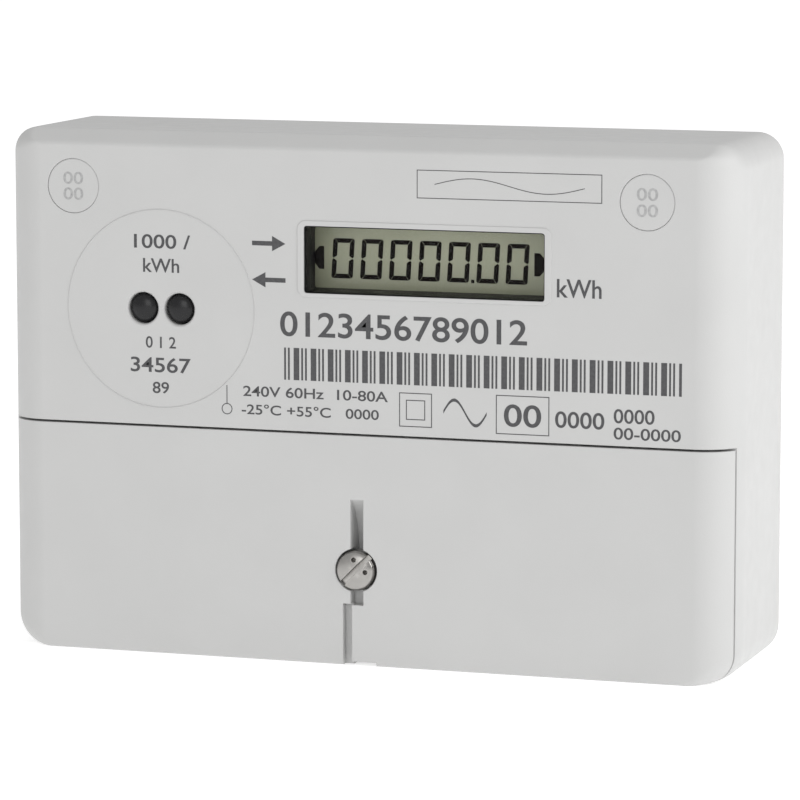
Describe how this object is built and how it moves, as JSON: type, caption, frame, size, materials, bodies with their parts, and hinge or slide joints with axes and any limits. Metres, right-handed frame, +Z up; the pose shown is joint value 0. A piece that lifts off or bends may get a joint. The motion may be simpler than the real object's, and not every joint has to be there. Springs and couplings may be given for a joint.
{
  "type": "smart electricity meter",
  "caption": "Single-phase electricity meter: moulded case with a digit display, optical port, screwed terminal cover and tunnel terminals for cables entering from below.",
  "frame": {"origin": "under the middle of the case, on the surface that the meter stands on (centre of the bounding box's bottom)", "axes": "+X runs across the face, to the right of a person reading it; +Y runs from the face to the wall behind the meter; +Z is up"},
  "size_m": [0.13, 0.0328, 0.09],
  "materials": {
    "case_moulding": "fine moulded grain, light grey",
    "base_moulding": "moulded, pale grey",
    "terminal_moulding": "moulded black, flame-retardant",
    "window_clear": "clear polished moulding",
    "display_glass": "liquid crystal glass, olive grey",
    "dark_moulding": "moulded, dark",
    "lens_black": "infrared-clear epoxy, black and glossy",
    "contact_rubber": "conductive rubber",
    "plated_steel": "zinc or nickel plated",
    "brass": "machined brass",
    "copper": "rolled copper",
    "resistance_alloy": "rolled copper-manganese alloy",
    "board": "solder-masked laminate",
    "chip_black": "moulded epoxy",
    "can_metal": "drawn can",
    "film_yellow": "film capacitor case",
    "sleeve_blue": "shrunk sleeve",
    "ceramic_blue": "dipped ceramic",
    "wire_red": "insulated wire",
    "wire_blue": "insulated wire"
  },
  "bodies": {
    "meter_body": {"main_cover": "case_moulding", "rear_base": "base_moulding", "display_window": "window_clear", "optical_port_ring": "plated_steel", "seal_plug_left": "case_moulding", "seal_plug_right": "case_moulding", "cover_screw_left": "plated_steel", "cover_screw_right": "plated_steel", "threaded_insert": "brass", "terminal_block": "terminal_moulding", "neutral_link": "brass", "shunt_copper_left": "copper", "shunt_resistance_bar": "resistance_alloy", "shunt_copper_right": "copper", "sense_wire_left": "wire_red", "sense_wire_right": "wire_red", "neutral_supply_wire": "wire_blue", "circuit_board": "board", "display_glass": "display_glass", "display_holder": "dark_moulding", "display_contact_strip": "contact_rubber", "infrared_emitter": "lens_black", "infrared_receiver": "lens_black", "microcontroller": "chip_black", "metering_chip": "chip_black", "quartz_crystal": "can_metal", "dropper_capacitor": "film_yellow", "storage_capacitor": "sleeve_blue", "surge_varistor": "ceramic_blue", "bridge_rectifier": "chip_black", "terminal_1": "brass", "terminal_2": "brass", "terminal_3": "brass", "terminal_4": "brass", "board_screw_1": "plated_steel", "board_screw_2": "plated_steel", "board_screw_3": "plated_steel", "board_screw_4": "plated_steel"},
    "terminal_cover": {"terminal_cover": "case_moulding"},
    "captive_washer": {"captive_washer": "plated_steel"},
    "terminal_cover_screw": {"terminal_cover_screw": "plated_steel"},
    "clamp_screw_1_lower": {"clamp_screw_1_lower": "plated_steel"},
    "clamp_screw_1_upper": {"clamp_screw_1_upper": "plated_steel"},
    "clamp_screw_2_lower": {"clamp_screw_2_lower": "plated_steel"},
    "clamp_screw_2_upper": {"clamp_screw_2_upper": "plated_steel"},
    "clamp_screw_3_lower": {"clamp_screw_3_lower": "plated_steel"},
    "clamp_screw_3_upper": {"clamp_screw_3_upper": "plated_steel"},
    "clamp_screw_4_lower": {"clamp_screw_4_lower": "plated_steel"},
    "clamp_screw_4_upper": {"clamp_screw_4_upper": "plated_steel"}
  },
  "joints": [
    {"name": "terminal_cover_pull", "type": "slide", "parent": "meter_body", "child": "terminal_cover", "axis": [0, -1, 0], "range_m": [0, 0.04]},
    {"name": "cover_screw_travel", "type": "slide", "parent": "terminal_cover", "child": "captive_washer", "axis": [0, -1, 0], "range_m": [0, 0.0035]},
    {"name": "cover_screw_turn", "type": "hinge", "parent": "captive_washer", "child": "terminal_cover_screw", "pos_m": [-0.0011, -0.0168, 0.0163], "axis": [0, -1, 0], "range_deg": [0, 1800]},
    {"name": "clamp_screw_1_lower_travel", "type": "slide", "parent": "meter_body", "child": "clamp_screw_1_lower", "axis": [0, 1, 0], "range_m": [0, 0.005]},
    {"name": "clamp_screw_1_upper_travel", "type": "slide", "parent": "meter_body", "child": "clamp_screw_1_upper", "axis": [0, 1, 0], "range_m": [0, 0.005]},
    {"name": "clamp_screw_2_lower_travel", "type": "slide", "parent": "meter_body", "child": "clamp_screw_2_lower", "axis": [0, 1, 0], "range_m": [0, 0.005]},
    {"name": "clamp_screw_2_upper_travel", "type": "slide", "parent": "meter_body", "child": "clamp_screw_2_upper", "axis": [0, 1, 0], "range_m": [0, 0.005]},
    {"name": "clamp_screw_3_lower_travel", "type": "slide", "parent": "meter_body", "child": "clamp_screw_3_lower", "axis": [0, 1, 0], "range_m": [0, 0.005]},
    {"name": "clamp_screw_3_upper_travel", "type": "slide", "parent": "meter_body", "child": "clamp_screw_3_upper", "axis": [0, 1, 0], "range_m": [0, 0.005]},
    {"name": "clamp_screw_4_lower_travel", "type": "slide", "parent": "meter_body", "child": "clamp_screw_4_lower", "axis": [0, 1, 0], "range_m": [0, 0.005]},
    {"name": "clamp_screw_4_upper_travel", "type": "slide", "parent": "meter_body", "child": "clamp_screw_4_upper", "axis": [0, 1, 0], "range_m": [0, 0.005]}
  ],
  "couplings": [
    {"joint": "cover_screw_turn", "follows": "cover_screw_travel", "rad_per_m": 8975.9}
  ]
}
